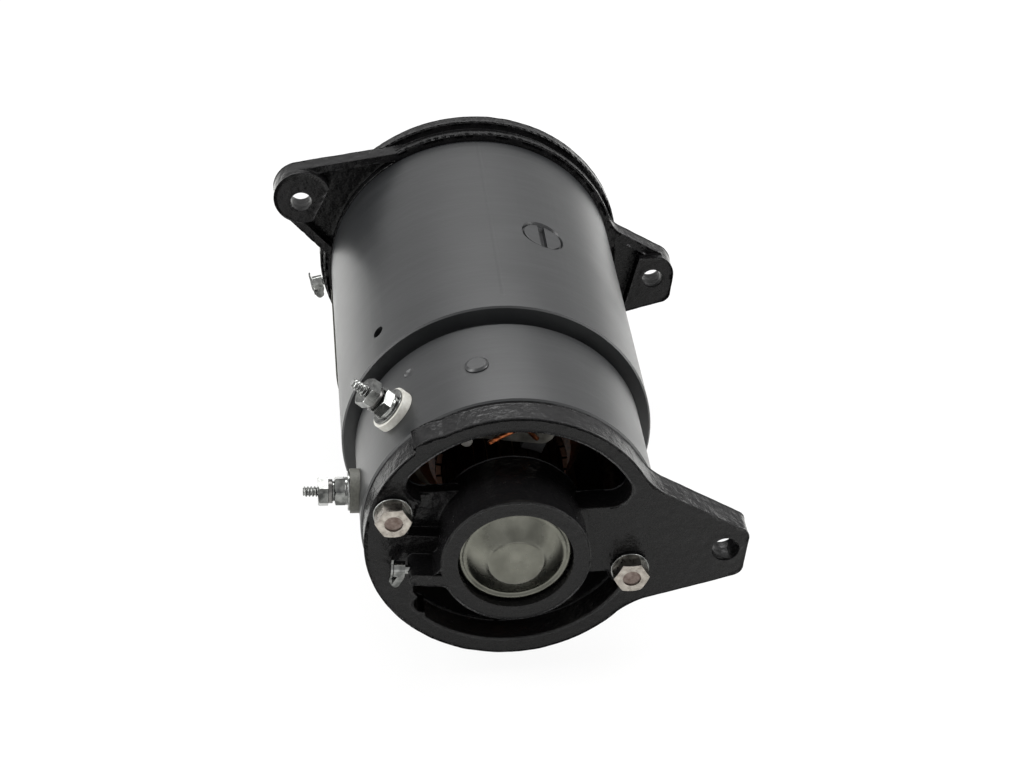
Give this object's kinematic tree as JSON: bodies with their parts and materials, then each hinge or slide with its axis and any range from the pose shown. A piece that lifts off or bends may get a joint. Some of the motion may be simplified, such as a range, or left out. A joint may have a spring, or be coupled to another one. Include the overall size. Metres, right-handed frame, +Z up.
{
  "type": "electric generator",
  "caption": "Direct-current vehicle generator with a stepped black frame, cast end frames, mounting ears, side terminals, oilers and a keyed shaft.",
  "frame": {"origin": "on the shaft axis at the middle of the pulley seat", "axes": "+Y along the shaft towards the drive end, +Z up, so the commutator end frame is at -Y and its hinge ear points to +X"},
  "size_m": [0.1632, 0.2773, 0.1234],
  "materials": {
    "black_paint": "semi-gloss black paint on rolled steel",
    "black_casting": "gloss black paint on cast iron",
    "zinc": "bright zinc plate",
    "bare_steel": "bare turned or pressed steel",
    "bearing_steel": "ground bearing steel",
    "core_steel": "varnished sheet steel laminations",
    "brass": "pressed brass",
    "copper": "drawn copper",
    "coil": "varnished cotton tape over copper wire",
    "insulation": "moulded insulation",
    "mica": "mica and shellac",
    "carbon": "pressed carbon",
    "wire_cover": "rubber and cotton wire cover",
    "felt": "oiled felt",
    "plate": "dark blank plate"
  },
  "bodies": {
    "frame": {"field_frame": "black_paint", "commutator_end_frame": "black_casting", "drive_end_frame": "black_casting", "bearing_plug": "bare_steel", "ce_bearing_outer_race": "bearing_steel", "de_bearing_outer_race": "bearing_steel", "bearing_retainer": "bare_steel", "retainer_screws": "zinc", "felt_seal": "felt", "upper_pole_shoe": "bare_steel", "lower_pole_shoe": "bare_steel", "pole_screws": "black_paint", "upper_field_coil": "coil", "lower_field_coil": "coil", "through_bolts": "bare_steel", "through_bolt_washers": "zinc", "through_bolt_nuts": "zinc", "armature_stud": "zinc", "field_stud": "zinc", "armature_insulator": "insulation", "field_insulator": "insulation", "terminal_washers": "zinc", "terminal_lock_washers": "zinc", "terminal_nuts": "zinc", "upper_brush_bracket": "brass", "lower_brush_bracket": "brass", "bracket_rivets": "black_paint", "pivot_pins": "bare_steel", "armature_lead": "wire_cover", "field_lead": "wire_cover", "locating_dowel": "bare_steel", "ce_oiler": "zinc", "de_oiler": "zinc", "name_plate": "plate"},
    "armature": {"armature_shaft": "bare_steel", "armature_core": "core_steel", "armature_windings": "copper", "commutator_bars": "copper", "commutator_insulation": "mica", "ce_bearing_inner_race": "bearing_steel", "de_bearing_inner_race": "bearing_steel", "shaft_collar": "bare_steel", "shaft_snap_ring": "bare_steel"},
    "upper_brush_set": {"upper_brush_arm": "brass", "upper_brush": "carbon", "upper_brush_spring": "bare_steel", "upper_pigtail": "copper"},
    "lower_brush_set": {"lower_brush_arm": "brass", "lower_brush": "carbon", "lower_brush_spring": "bare_steel", "lower_pigtail": "copper"},
    "ce_oiler_lid": {"ce_oiler_lid": "zinc"},
    "de_oiler_lid": {"de_oiler_lid": "zinc"},
    "ce_balls": {"ce_bearing_balls": "bearing_steel"},
    "de_balls": {"de_bearing_balls": "bearing_steel"}
  },
  "joints": [
    {"name": "armature_spin", "type": "hinge", "parent": "frame", "child": "armature", "pos_m": [0, 0, 0], "axis": [0, 1, 0], "continuous": true},
    {"name": "ce_balls_spin", "type": "hinge", "parent": "frame", "child": "ce_balls", "pos_m": [0, 0, 0], "axis": [0, 1, 0], "continuous": true},
    {"name": "de_balls_spin", "type": "hinge", "parent": "frame", "child": "de_balls", "pos_m": [0, 0, 0], "axis": [0, 1, 0], "continuous": true},
    {"name": "upper_brush_lift", "type": "hinge", "parent": "frame", "child": "upper_brush_set", "pos_m": [-0.01464, -0.2002, 0.03289], "axis": [0, -1, 0], "range_deg": [0, 16], "stiffness_Nm_per_rad": 0.3, "springref_deg": -28.65},
    {"name": "lower_brush_lift", "type": "hinge", "parent": "frame", "child": "lower_brush_set", "pos_m": [0.01464, -0.2002, -0.03289], "axis": [0, -1, 0], "range_deg": [0, 16], "stiffness_Nm_per_rad": 0.3, "springref_deg": -28.65},
    {"name": "ce_oiler_lid_hinge", "type": "hinge", "parent": "frame", "child": "ce_oiler_lid", "pos_m": [-0.04144, -0.2392, -0.01013], "axis": [0, -1, 0], "range_deg": [0, 100], "stiffness_Nm_per_rad": 0.001, "springref_deg": -17.19},
    {"name": "de_oiler_lid_hinge", "type": "hinge", "parent": "frame", "child": "de_oiler_lid", "pos_m": [-0.06229, -0.0378, -0.01927], "axis": [0, -1, 0], "range_deg": [0, 100], "stiffness_Nm_per_rad": 0.001, "springref_deg": -17.19}
  ],
  "couplings": [
    {"joint": "ce_balls_spin", "follows": "armature_spin", "ratio": 0.3807},
    {"joint": "de_balls_spin", "follows": "armature_spin", "ratio": 0.3807}
  ]
}
